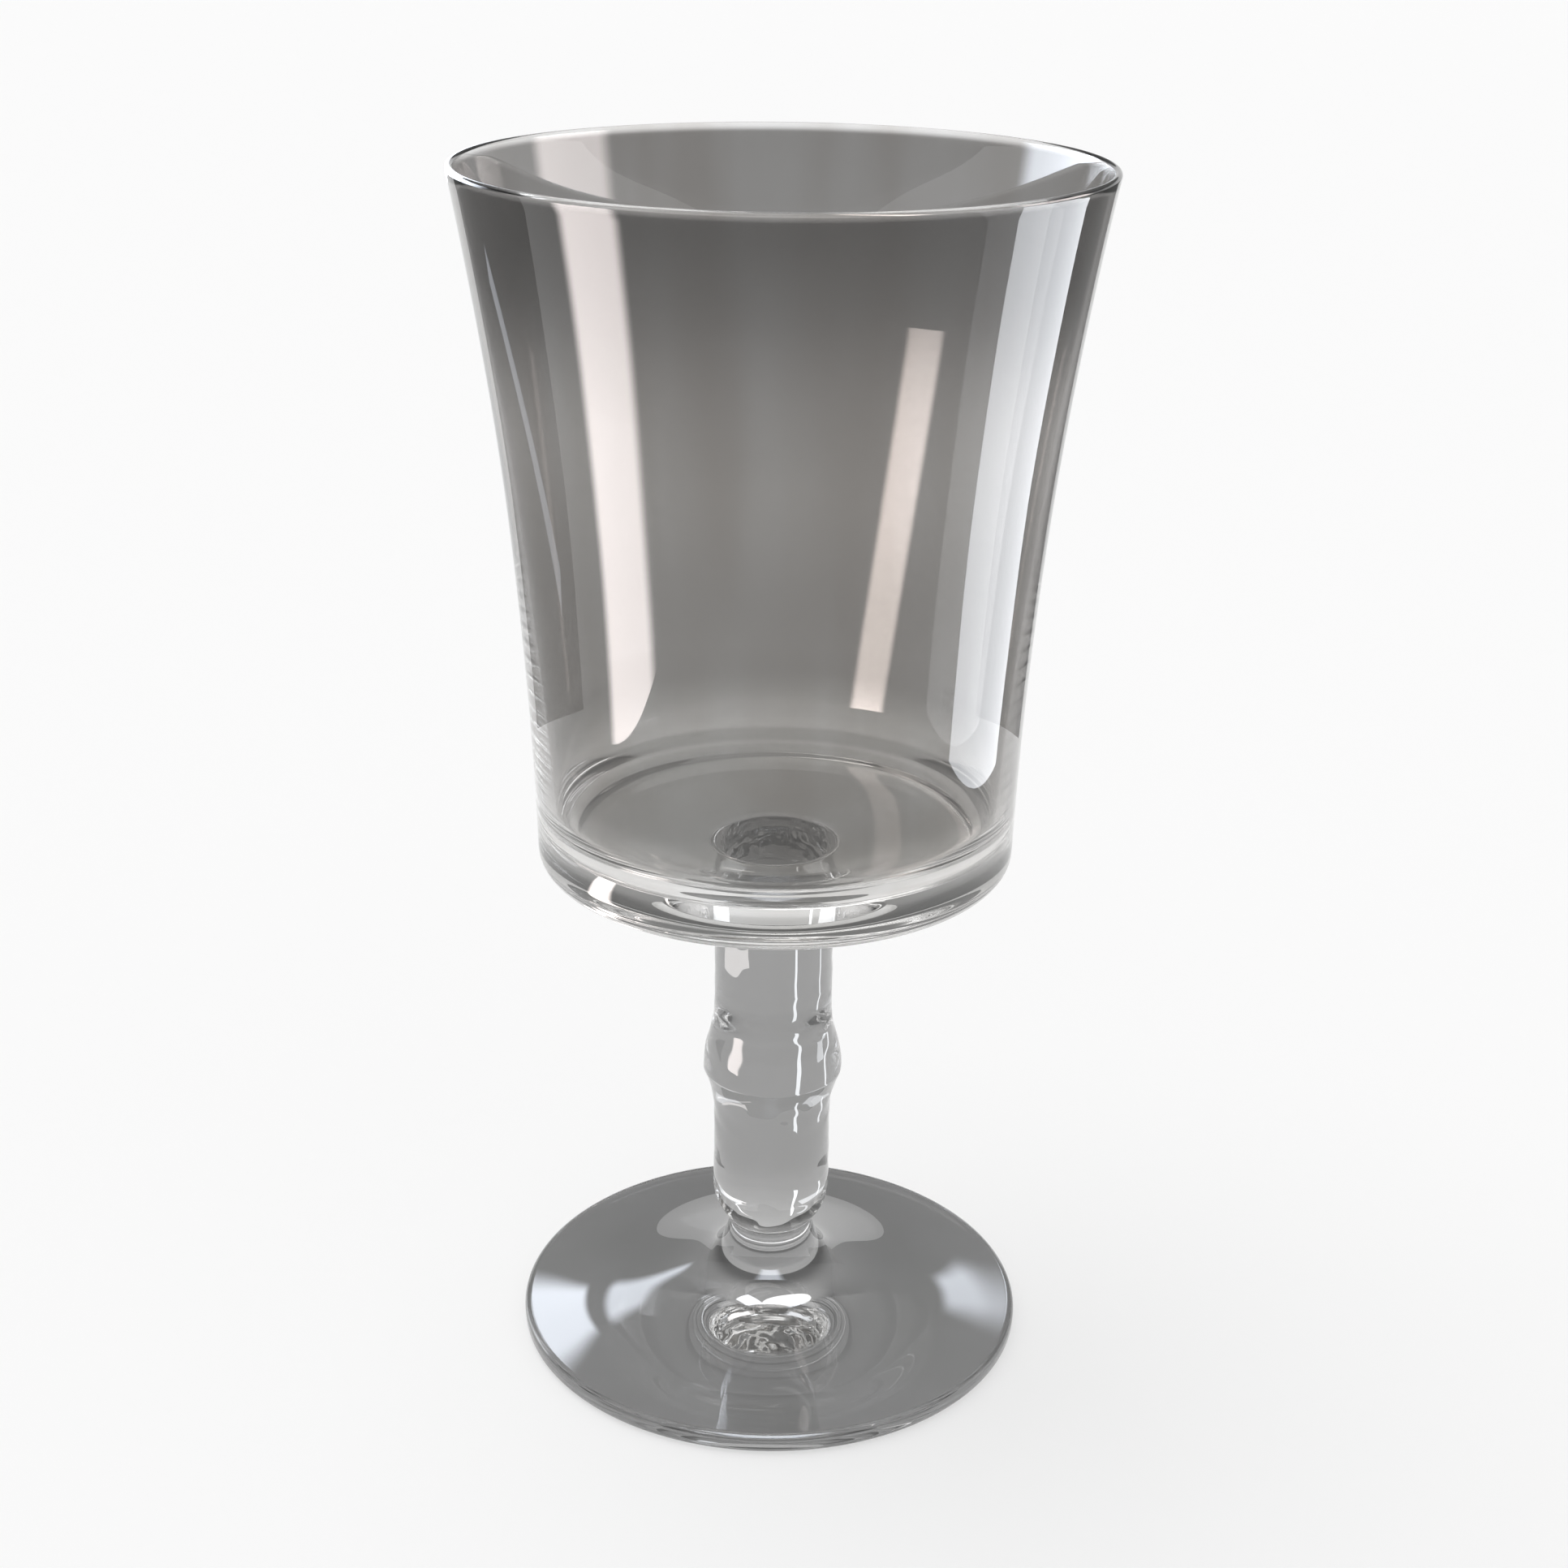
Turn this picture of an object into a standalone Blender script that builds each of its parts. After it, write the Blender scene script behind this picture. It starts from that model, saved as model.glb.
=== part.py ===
"""A wine goblet of clear glass: a flared bowl, a solid knuckled stem and a disc foot.

Each piece is a profile turned about the goblet's vertical axis. The origin lies on that axis in
the plane of the table, and +Z runs up to the lip. Sizes are in metres, turns in degrees.
"""

import math

import bpy

MM = 0.001

# Joints between the pieces
SEAL_GAP = 0.3 * MM  # clearance left where two pieces of hot glass are joined

# Foot, from the neck down
NECK_HEIGHT = 15.2 * MM  # table to the top of the neck
NECK_RADIUS = 6.1 * MM  # the waist, shared by the foot's neck and the stem's lower end
NECK_FLARE = 1.25 * MM  # distance over which the neck's bell runs out into the cone
CONE_TURN = 19.5  # slope of the cone round the neck
BRIM_TURN = 3.5  # slope of the brim between the cone and the rim
BEND_RADIUS = 25.0 * MM  # where the cone bends into the brim
BEND_WIDTH = 3.5 * MM  # how gently it does so
FOOT_RADIUS = 37.0 * MM
FOOT_RIM = 2.9 * MM  # thickness of the foot at its rim
FOOT_EDGE = 1.1 * MM  # rounding of the rim's upper and lower edges

# Stem, from the lower end up
STEM_LENGTH = 56.8 * MM
STEM_RADIUS = 8.5 * MM
SHOULDER_TURN = 44.0  # how far the lower end turns in before the waist
WAIST_ROUND = 1.5 * MM  # hollow between the shoulder and the waist
KNUCKLE_RISE = 25.8 * MM  # lower end to the knuckle's ridge
KNUCKLE_RADIUS = 10.1 * MM
KNUCKLE_LIP = 1.0 * MM  # rounding of the ridge
UNDERCUT_TURN = 24.0  # how steeply the stem falls back below the ridge
SWELL_BELOW = 8.5 * MM
SWELL_ABOVE = 9.7 * MM
SEAT_RADIUS = 8.6 * MM  # shared by the stem's upper end and the bowl's seat
SEAT_FLARE = 3.0 * MM  # length over which the stem opens to its seat

# Bowl, from the seat up
SEAT_DROP = 2.0 * MM  # the underside sinks this far from its edge to the seat
BOWL_HEIGHT = 95.4 * MM  # underside's edge to the lip
HEEL_RADIUS = 33.2 * MM
HEEL_ROUND = 2.6 * MM  # rounding of the underside's edge
HEEL_WALL = 2.4 * MM
RIM_RADIUS = 42.6 * MM
RIM_WALL = 1.0 * MM  # the lip is rounded over this full thickness
FLARE_POWER = 2.06  # how late the wall opens
FLARE_TAPER = 0.21  # share of the opening that is a straight taper
FLOOR_HEIGHT = 4.4 * MM  # underside's edge to the floor's edge
FLOOR_ROUND = 7.5 * MM  # hollow between the floor and the wall
FLOOR_DISH = 0.6 * MM  # the floor sinks this far at its centre

# Facets
WIDE_SIDES = 60  # round the bowl and the foot
STEM_SIDES = 40
MERGE_DISTANCE = 0.00001

# Clear glass
GLASS_IOR = 1.52
GLASS_ROUGHNESS = 0.02
BOWL_COLOUR = (0.93, 0.94, 0.94, 1.0)
STEM_COLOUR = (0.92, 0.94, 0.94, 1.0)
FOOT_COLOUR = (0.92, 0.93, 0.93, 1.0)


def ease(share):
    """Runs from 0 to 1 as share does, level at both ends."""
    return 0.5 - 0.5 * math.cos(math.pi * share)


def spread(start, end, steps):
    """Evenly spaced values after start, up to and including end."""
    return [start + (end - start) * step / steps for step in range(1, steps + 1)]


def arc(centre, radius, start, end, steps):
    """Points on a circle in the profile plane after the start angle, up to the end angle."""
    points = []
    for angle in spread(math.radians(start), math.radians(end), steps):
        points.append((centre[0] + radius * math.cos(angle), centre[1] + radius * math.sin(angle)))
    return points


def bisect(rises_through_zero, low, high):
    """The share between low and high at which a rising function passes zero."""
    for _ in range(40):
        middle = (low + high) / 2
        if rises_through_zero(middle) < 0:
            low = middle
        else:
            high = middle
    return (low + high) / 2


def wall_point(share):
    """A point on the bowl's outer wall and its outward normal, from the heel at 0 to the lip at 1."""
    rise = BOWL_HEIGHT - HEEL_ROUND - RIM_WALL / 2
    opening = RIM_RADIUS - HEEL_RADIUS
    taper = FLARE_TAPER * share + (1 - FLARE_TAPER) * share**FLARE_POWER
    slope = FLARE_TAPER + (1 - FLARE_TAPER) * FLARE_POWER * share ** (FLARE_POWER - 1)
    length = math.hypot(opening * slope, rise)
    point = (HEEL_RADIUS + opening * taper, SEAT_DROP + HEEL_ROUND + rise * share)
    return point, (rise / length, -opening * slope / length)


def inner_point(share, extra=0.0):
    """The point that lies inside the wall by its thickness, which thins towards the lip."""
    point, normal = wall_point(share)
    depth = RIM_WALL + (HEEL_WALL - RIM_WALL) * (1 - share) ** 2 + extra
    return point[0] - depth * normal[0], point[1] - depth * normal[1]


def bowl_profile():
    """Floor, inner wall, lip, outer wall and underside, with the seat at height 0."""
    floor = SEAT_DROP + FLOOR_HEIGHT

    # The hollow is a circle that touches the floor and the inner wall.
    foot_of_wall = bisect(lambda share: inner_point(share, FLOOR_ROUND)[1] - FLOOR_ROUND - floor, 0, 0.5)
    hollow = inner_point(foot_of_wall, FLOOR_ROUND)
    normal = wall_point(foot_of_wall)[1]
    wall_angle = math.degrees(math.atan2(normal[1], normal[0]))

    points = [(0, floor - FLOOR_DISH)]
    for share in spread(0, 1, 5):
        points.append((hollow[0] * share, floor - FLOOR_DISH * (1 - ease(share))))
    points += arc(hollow, FLOOR_ROUND, -90, wall_angle, 6)
    points += [inner_point(share) for share in spread(foot_of_wall, 1, 11)]

    outer, normal = wall_point(1)
    lip = (outer[0] - normal[0] * RIM_WALL / 2, outer[1] - normal[1] * RIM_WALL / 2)
    lip_angle = math.degrees(math.atan2(normal[1], normal[0]))
    points += arc(lip, RIM_WALL / 2, lip_angle + 180, lip_angle, 6)

    points += [wall_point(share)[0] for share in spread(1, 0, 12)]
    points += arc((HEEL_RADIUS - HEEL_ROUND, SEAT_DROP + HEEL_ROUND), HEEL_ROUND, 0, -90, 5)
    for share in spread(0, 1, 6):
        radius = HEEL_RADIUS - HEEL_ROUND + (SEAT_RADIUS - HEEL_RADIUS + HEEL_ROUND) * share
        points.append((radius, SEAT_DROP * (1 - ease(share))))
    return points + [(0, 0)]


def stem_profile():
    """Seat, upper length, knuckle, lower length, shoulder and waist, with its lower end at 0."""
    points = [(0, STEM_LENGTH), (SEAT_RADIUS, STEM_LENGTH)]
    for share in spread(0, 1, 3):
        radius = SEAT_RADIUS + (STEM_RADIUS - SEAT_RADIUS) * ease(share)
        points.append((radius, STEM_LENGTH - SEAT_FLARE * share))

    # Above the ridge the stem swells gently, below it the glass falls back at once.
    points.append((STEM_RADIUS, KNUCKLE_RISE + SWELL_ABOVE))
    for share in spread(0, 1, 8):
        radius = STEM_RADIUS + (KNUCKLE_RADIUS - STEM_RADIUS) * ease(share)
        points.append((radius, KNUCKLE_RISE + SWELL_ABOVE * (1 - share)))
    points += arc((KNUCKLE_RADIUS - KNUCKLE_LIP, KNUCKLE_RISE), KNUCKLE_LIP, 0, -UNDERCUT_TURN, 3)
    lip_radius, lip_height = points[-1]
    fall = lip_radius - STEM_RADIUS
    power = SWELL_BELOW * math.tan(math.radians(UNDERCUT_TURN)) / fall
    for share in spread(0, 1, 7):
        points.append((STEM_RADIUS + fall * (1 - share) ** power, lip_height - SWELL_BELOW * share))

    # The shoulder and the hollow under it turn by the same angle and take up the narrowing between them.
    turn = math.radians(SHOULDER_TURN)
    shoulder = (STEM_RADIUS - NECK_RADIUS) / (1 - math.cos(turn)) - WAIST_ROUND
    shoulder_height = (shoulder + WAIST_ROUND) * math.sin(turn)
    points.append((STEM_RADIUS, shoulder_height))
    points += arc((STEM_RADIUS - shoulder, shoulder_height), shoulder, 0, -SHOULDER_TURN, 7)
    points += arc((NECK_RADIUS + WAIST_ROUND, 0), WAIST_ROUND, 180 - SHOULDER_TURN, 180, 4)
    return points + [(0, 0)]


def foot_slope(radius):
    """Height of the foot's upper face without the neck: a cone that bends into the brim.

    The bend is a softened corner, so both slopes run straight away from it.
    """
    rim = FOOT_RADIUS - FOOT_EDGE
    brim = math.tan(math.radians(BRIM_TURN))
    steeper = (math.tan(math.radians(CONE_TURN)) - brim) * BEND_WIDTH
    bend = math.log1p(math.exp((BEND_RADIUS - radius) / BEND_WIDTH))
    bend_at_rim = math.log1p(math.exp((BEND_RADIUS - rim) / BEND_WIDTH))
    return FOOT_RIM + brim * (rim - radius) + steeper * (bend - bend_at_rim)


def foot_profile():
    """Neck, bell, cone, brim, rim and flat underside, with the table at height 0."""
    rim = FOOT_RADIUS - FOOT_EDGE
    span = rim - NECK_RADIUS
    neck = NECK_HEIGHT - foot_slope(NECK_RADIUS)
    points = [(0, NECK_HEIGHT), (NECK_RADIUS, NECK_HEIGHT)]
    for step in spread(0, 1, 20):
        share = step**2
        radius = NECK_RADIUS + span * share
        bell = neck * math.exp(-span * share / NECK_FLARE) * (1 - share)
        points.append((radius, foot_slope(radius) + bell))

    points += arc((rim, FOOT_RIM - FOOT_EDGE), FOOT_EDGE, 90, 0, 4)
    points += arc((rim, FOOT_EDGE), FOOT_EDGE, 0, -90, 4)[:-1]
    return points + [(rim, 0), (0, 0)]


def clear_glass(name, colour):
    """A Principled material that lets light through."""
    material = bpy.data.materials.new(name)
    material.use_nodes = True
    shader = material.node_tree.nodes["Principled BSDF"]
    shader.inputs["Base Color"].default_value = colour
    shader.inputs["Roughness"].default_value = GLASS_ROUGHNESS
    shader.inputs["Metallic"].default_value = 0.0
    shader.inputs["IOR"].default_value = GLASS_IOR
    shader.inputs["Transmission Weight"].default_value = 1.0
    return material


def turned(name, profile, sides, height, material, collection, parent):
    """A solid of revolution standing at a height on the goblet's axis.

    The profile starts and ends on the axis and runs down the outer side.
    """
    mesh = bpy.data.meshes.new(name)
    vertices = [(radius, 0, level) for radius, level in profile]
    edges = [(index, index + 1) for index in range(len(profile) - 1)]
    mesh.from_pydata(vertices, edges, [])
    mesh.materials.append(material)

    piece = bpy.data.objects.new(name, mesh)
    piece.location = (0, 0, height)
    piece.parent = parent
    collection.objects.link(piece)

    screw = piece.modifiers.new("Turn", "SCREW")
    screw.axis = "Z"
    screw.angle = math.tau
    screw.steps = sides
    screw.render_steps = sides
    screw.use_merge_vertices = True
    screw.merge_threshold = MERGE_DISTANCE
    screw.use_smooth_shade = True
    return piece


def main():
    for item in list(bpy.data.objects):
        bpy.data.objects.remove(item)

    collection = bpy.data.collections.new("wine_goblet")
    bpy.context.scene.collection.children.link(collection)
    axis = bpy.data.objects.new("goblet_axis", None)
    axis.empty_display_size = FOOT_RADIUS
    collection.objects.link(axis)

    stem_height = NECK_HEIGHT + SEAL_GAP
    bowl_height = stem_height + STEM_LENGTH + SEAL_GAP

    glass = clear_glass("foot_glass", FOOT_COLOUR)
    turned("foot", foot_profile(), WIDE_SIDES, 0, glass, collection, axis)
    glass = clear_glass("stem_glass", STEM_COLOUR)
    turned("stem", stem_profile(), STEM_SIDES, stem_height, glass, collection, axis)
    glass = clear_glass("bowl_glass", BOWL_COLOUR)
    turned("bowl", bowl_profile(), WIDE_SIDES, bowl_height, glass, collection, axis)


main()
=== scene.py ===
"""Looks of a glass wine goblet: finely turned glass over its CAD frame, in a small studio.

The bowl, the stem and the foot are surfaces of revolution about the goblet's axis, +Z, with the
sizes of the CAD nodes that they replace. Lengths are in metres and turns in degrees.
"""

import logging
import math
from dataclasses import dataclass
from enum import Enum, IntEnum

import bpy
import numpy as np
from mathutils import Euler, Matrix, Quaternion, Vector


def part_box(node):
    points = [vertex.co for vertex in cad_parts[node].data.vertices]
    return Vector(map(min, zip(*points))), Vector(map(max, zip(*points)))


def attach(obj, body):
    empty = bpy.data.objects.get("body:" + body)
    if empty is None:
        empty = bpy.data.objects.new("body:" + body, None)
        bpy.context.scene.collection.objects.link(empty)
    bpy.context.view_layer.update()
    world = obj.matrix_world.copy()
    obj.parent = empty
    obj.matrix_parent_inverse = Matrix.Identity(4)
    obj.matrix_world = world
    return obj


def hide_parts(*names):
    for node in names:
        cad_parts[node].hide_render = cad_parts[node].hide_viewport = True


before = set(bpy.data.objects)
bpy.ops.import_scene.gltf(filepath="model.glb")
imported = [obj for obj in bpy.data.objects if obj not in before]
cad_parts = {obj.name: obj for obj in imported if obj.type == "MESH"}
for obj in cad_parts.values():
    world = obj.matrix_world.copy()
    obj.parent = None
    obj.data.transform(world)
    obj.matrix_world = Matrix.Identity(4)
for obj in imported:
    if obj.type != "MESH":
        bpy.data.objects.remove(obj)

MM = 0.001
BODY = "root"
SEAT_RADIUS = 9.7 * MM  # of the seal between bowl and stem
WAIST_RADIUS = 6.1 * MM  # of the seal between stem and foot
SIDES = 192  # facets round the axis, the same on every piece so that their seals meet
BOUNCES = 96  # so many that light finds its way out of the thick glass and leaves no black spots

log = logging.getLogger("goblet")

Colour = tuple[float, float, float]
Place = tuple[float, float, float]
Pair = tuple[float, float]
Names = tuple[str, ...]


class Skin(IntEnum):
    """Which of a piece's materials a stretch of its outline takes."""

    GLASS = 0
    SEAL = 1


def ease(share: np.ndarray) -> np.ndarray:
    """Half a cosine wave, which runs from 0 to 1 as share does and is level at both ends."""
    return 0.5 - 0.5 * np.cos(np.pi * share)


def shares(steps: int) -> np.ndarray:
    """Evenly spaced values after 0, up to and including 1."""
    return np.arange(1, steps + 1) / steps


def line(radius: np.ndarray | float, height: np.ndarray | float) -> np.ndarray:
    """Outline points, one row each, from radii and heights of which either may be one value."""
    return np.stack(np.broadcast_arrays(np.atleast_1d(radius), np.atleast_1d(height)), axis=1)


def arc(centre: Pair | np.ndarray, radius: float, start: float, end: float, steps: int) -> np.ndarray:
    """Points on a circle of the outline's plane.

    A point is the centre plus the radius times the cosine and sine of an evenly growing angle.

    Args:
        centre: Radius and height of the circle's centre.
        radius: The circle's radius.
        start: Angle in degrees at which the arc starts, which is left out.
        end: Angle in degrees at which it ends.
        steps: Number of points.

    Returns:
        One row of radius and height for each point.
    """
    angle = np.radians(start + (end - start) * shares(steps))
    return line(centre[0] + radius * np.cos(angle), centre[1] + radius * np.sin(angle))


def ring_quads(rings: int, sides: int) -> np.ndarray:
    """Faces between rings of points that follow one another.

    A face joins a point and the next one of its ring to the same two points of the ring after it.

    Args:
        rings: Number of rings.
        sides: Points in each ring, the last of which is followed by the first.

    Returns:
        One row of four point numbers for each face.
    """
    near = np.arange(sides)
    far = (near + 1) % sides
    upper = np.arange(rings - 1)[:, None] * sides
    lower = upper + sides
    return np.stack([upper + near, lower + near, lower + far, upper + far], axis=-1).reshape(-1, 4)


def grey(level: float) -> Colour:
    """A grey of the given level."""
    return (level, level, level)


def put(name: str, data: bpy.types.ID) -> bpy.types.Object:
    """Puts a mesh, a lamp or a camera into the scene.

    Args:
        name: The object's name.
        data: What the object shows.

    Returns:
        The object, at the origin.
    """
    made = bpy.data.objects.new(name, data)
    bpy.context.scene.collection.objects.link(made)
    return made


@dataclass(frozen=True)
class Waver:
    """How a piece strays from a true turning, as glass shaped by hand does.

    Attributes:
        depth: The most that one wave adds to the radius.
        rounds: How often each wave rises round the axis.
        pitch: Length of each wave along the axis.
        fade: Height over which the waves grow from nothing at either end of the piece.
        round_phase: Angle by which each wave is turned from the last round the axis, in radians.
        along_phase: Angle by which each wave is ahead of the last along the axis, in radians.
    """

    depth: float
    rounds: tuple[int, ...]
    pitch: tuple[float, ...]
    fade: float
    round_phase: float = 2.4
    along_phase: float = 1.7

    def shift(self, height: np.ndarray, angle: np.ndarray) -> np.ndarray:
        """What the waves add to the radius.

        Each wave is the depth times the cosine of its angle round the axis times the cosine of its
        angle along it, each with a phase of its own. The sum fades out at the two ends.

        Args:
            height: Height of each ring.
            angle: Angle of each side in radians.

        Returns:
            The additions, one row for each ring.
        """
        total = np.zeros((len(height), len(angle)))
        for index, (turns, length) in enumerate(zip(self.rounds, self.pitch)):
            round_wave = np.cos(turns * angle + self.round_phase * index)
            along_wave = np.cos(math.tau * height / length + self.along_phase * index)
            total += self.depth * np.outer(along_wave, round_wave)
        inset = np.minimum(height - height.min(), height.max() - height) / self.fade
        return total * ease(np.clip(inset, 0.0, 1.0))[:, None]


@dataclass(frozen=True)
class Outline:
    """Half of a turned piece's section, from pole to pole with the glass on the right.

    Attributes:
        points: Radius and height of each point, the first and the last on the axis.
        skins: The Skin of each stretch between two points.
    """

    points: np.ndarray
    skins: np.ndarray

    @classmethod
    def joined(cls, parts: list[np.ndarray], seals: tuple[int, ...]) -> "Outline":
        """An outline from its parts.

        Args:
            parts: Rows of points, in order.
            seals: Numbers of the stretches that lie inside a hot seal.

        Returns:
            The outline.
        """
        points = np.concatenate(parts)
        skins = np.full(len(points) - 1, Skin.GLASS)
        skins[list(seals)] = Skin.SEAL
        return cls(points, skins)

    def turned(self, name: str, waver: Waver) -> bpy.types.Mesh:
        """The closed surface that the outline sweeps about the axis.

        A point at radius r and height z goes to (r cos a, r sin a, z) for SIDES evenly spaced
        angles a, with the waver added to r. The two ends shrink to single poles with a fan of
        triangles each.

        Args:
            name: The mesh's name.
            waver: How the surface strays.

        Returns:
            The mesh, smooth but for the rims of its seals.
        """
        angle = np.arange(SIDES) * (math.tau / SIDES)
        radius, height = self.points[1:-1].T
        reach = radius[:, None] + waver.shift(height, angle)
        level = np.repeat(height[:, None], SIDES, axis=1)
        grid = np.stack([reach * np.cos(angle), reach * np.sin(angle), level], axis=-1).reshape(-1, 3)
        poles = np.array([[0.0, 0.0, self.points[0, 1]], [0.0, 0.0, self.points[-1, 1]]])
        vertices = np.concatenate([grid, poles])

        rings = len(radius)
        near = np.arange(SIDES)
        far = (near + 1) % SIDES
        quads = ring_quads(rings, SIDES)
        first = np.stack([np.full(SIDES, rings * SIDES), near, far], axis=-1)
        last_ring = (rings - 1) * SIDES
        last = np.stack([last_ring + near, np.full(SIDES, rings * SIDES + 1), last_ring + far], axis=-1)

        mesh = bpy.data.meshes.new(name)
        mesh.from_pydata(vertices, [], quads.tolist() + first.tolist() + last.tolist())
        skins = np.concatenate([self.skins[1:-1], self.skins[:1], self.skins[-1:]])
        mesh.polygons.foreach_set("material_index", np.repeat(skins, SIDES).astype(np.int32))
        mesh.polygons.foreach_set("use_smooth", np.ones(len(mesh.polygons), dtype=bool))
        self._crease(mesh)
        mesh.update()
        return mesh

    def _crease(self, mesh: bpy.types.Mesh) -> None:
        """Makes the rings sharp at which the skin changes.

        Args:
            mesh: The turned mesh.
        """
        changes = np.flatnonzero(np.diff(self.skins))
        ends = np.empty(2 * len(mesh.edges), dtype=np.int32)
        mesh.edges.foreach_get("vertices", ends)
        ring = ends.reshape(-1, 2) // SIDES
        sharp = (ring[:, 0] == ring[:, 1]) & np.isin(ring[:, 0], changes)
        mesh.edges.foreach_set("use_edge_sharp", sharp)


class NodeTree:
    """A short hand for the nodes of a material, a lamp or the world."""

    def __init__(self, owner: bpy.types.Material | bpy.types.Light | bpy.types.World) -> None:
        """Empties the owner's node tree.

        Args:
            owner: The material, lamp or world to give nodes to.
        """
        owner.use_nodes = True
        self.tree = owner.node_tree
        self.tree.nodes.clear()

    def add(
        self,
        kind: str,
        inputs: dict[str | int, object] | None = None,
        **settings: object,
    ) -> bpy.types.Node:
        """Adds a node.

        Args:
            kind: The node's type, without the leading ShaderNode.
            inputs: Values or other nodes' sockets for its inputs, by socket name or number.
            settings: The node's own settings.

        Returns:
            The node.
        """
        node = self.tree.nodes.new("ShaderNode" + kind)
        for key, value in settings.items():
            setattr(node, key, value)
        for key, value in (inputs or {}).items():
            if isinstance(value, bpy.types.NodeSocket):
                self.tree.links.new(value, node.inputs[key])
            else:
                node.inputs[key].default_value = value
        return node

    def blend(self, share: bpy.types.NodeSocket, first: Colour, last: Colour) -> bpy.types.NodeSocket:
        """Mixes two colours.

        Args:
            share: Share of the last colour.
            first: The colour at a share of 0.
            last: The colour at a share of 1.

        Returns:
            The mixed colour.
        """
        node = self.add("Mix", {"Factor": share}, data_type="RGBA")
        ends = [socket for socket in node.inputs if socket.type == "RGBA"]
        ends[0].default_value = (*first, 1.0)
        ends[1].default_value = (*last, 1.0)
        return next(socket for socket in node.outputs if socket.type == "RGBA")

    def part(self, vector: bpy.types.NodeSocket, axis: str) -> bpy.types.NodeSocket:
        """A vector's part along X, Y or Z."""
        return self.add("SeparateXYZ", {"Vector": vector}).outputs[axis]

    def work_out(self, operation: str, first: object, second: object) -> bpy.types.NodeSocket:
        """The result of an operation on two values, each a number or another node's socket."""
        return self.add("Math", {0: first, 1: second}, operation=operation).outputs["Value"]

    def step(self, value: bpy.types.NodeSocket, band: Pair) -> bpy.types.NodeSocket:
        """A smooth step, from 0 where the value is at the band's start to 1 at its end."""
        inputs = {"Value": value, "From Min": band[0], "From Max": band[1]}
        return self.add("MapRange", inputs, interpolation_type="SMOOTHSTEP").outputs["Result"]


@dataclass(frozen=True)
class GlassFinish:
    """Fire-polished glass with smears, greyed by painted shade in bands along the axis and in patches.

    Attributes:
        name: The material's name.
        shade_stops: Heights, rising, and the share of each colour that passes the glass there. The grey is
            painted shade for the dark room seen through clear glass, made lighter or darker by height as
            painted light and shade.
        patch_shade: How much less passes in patches of painted shade, which stand in for the streaky room
            seen through the glass.
        patch_scale: Patches per metre across and along the axis; fewer along stretches them into streaks.
        smear: Roughness where the surface is least clean.
        ior: Index of refraction.
        patch_band: Values of the noise between which a patch of painted shade sets in.
        smear_scale: Smears per metre.
        smear_band: Values of the noise between which a smear grows to its full roughness.
    """

    name: str
    shade_stops: tuple[tuple[float, Colour], ...]
    patch_shade: Colour
    patch_scale: Pair
    smear: float = 0.02
    ior: float = 1.56
    patch_band: Pair = (0.35, 0.7)
    smear_scale: float = 70.0
    smear_band: Pair = (0.45, 0.8)

    def material(self) -> bpy.types.Material:
        """Makes the glass.

        Returns:
            A Principled material.
        """
        material = bpy.data.materials.new(self.name)
        nodes = NodeTree(material)
        place = nodes.add("TexCoord").outputs["Object"]
        shader = nodes.add(
            "BsdfPrincipled",
            {
                "Base Color": self._painted_shade(nodes, place),
                "Roughness": self._roughness(nodes, place),
                "Metallic": 0.0,
                "IOR": self.ior,
                "Transmission Weight": 1.0,
            },
        )
        nodes.add("OutputMaterial", {"Surface": shader.outputs["BSDF"]})
        return material

    def _painted_shade(self, nodes: NodeTree, place: bpy.types.NodeSocket) -> bpy.types.NodeSocket:
        """The colour that passes, all painted shade: a gradient along the axis, darker in patches.

        Args:
            nodes: The material's nodes.
            place: The point that is shaded.

        Returns:
            The colour.
        """
        # Painted shade and light: the ramp's grey stands in for the dark room seen through clear glass,
        # and is lighter or darker at some heights.
        height = nodes.part(place, "Z")
        low = self.shade_stops[0][0]
        high = self.shade_stops[-1][0]
        rise = nodes.add("MapRange", {"Value": height, "From Min": low, "From Max": high})
        ramp = nodes.add("ValToRGB", {"Fac": rise.outputs["Result"]})
        ramp.color_ramp.interpolation = "EASE"
        stops = ramp.color_ramp.elements
        given = len(stops)
        for index, (level, stop_shade) in enumerate(self.shade_stops):
            stop = stops[index] if index < given else stops.new(1.0)
            stop.position = (level - low) / (high - low)
            stop.color = (*stop_shade, 1.0)
        gradient = ramp.outputs["Color"]

        # Painted shade in patches, stretched into streaks along the axis where the scale along is smaller.
        across, along = self.patch_scale
        stretched = nodes.add("Mapping", {"Vector": place, "Scale": (across, across, along)})
        shade_patches = nodes.add(
            "TexNoise",
            {"Vector": stretched.outputs["Vector"], "Scale": 1.0, "Detail": 3.0, "Roughness": 0.55},
        )
        share = nodes.step(shade_patches.outputs["Fac"], self.patch_band)
        shade = nodes.blend(share, grey(1.0), self.patch_shade)
        product = nodes.add("VectorMath", {0: gradient, 1: shade}, operation="MULTIPLY")
        return product.outputs["Vector"]

    def _roughness(self, nodes: NodeTree, place: bpy.types.NodeSocket) -> bpy.types.NodeSocket:
        """The roughness: none, but for smears in soft patches.

        Args:
            nodes: The material's nodes.
            place: The point that is shaded.

        Returns:
            The roughness.
        """
        smears = nodes.add(
            "TexNoise",
            {"Vector": place, "Scale": self.smear_scale, "Detail": 4.0, "Roughness": 0.6},
        )
        rough = nodes.add(
            "MapRange",
            {
                "Value": smears.outputs["Fac"],
                "From Min": self.smear_band[0],
                "From Max": self.smear_band[1],
                "To Min": 0.0,
                "To Max": self.smear,
            },
        )
        return rough.outputs["Result"]


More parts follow.
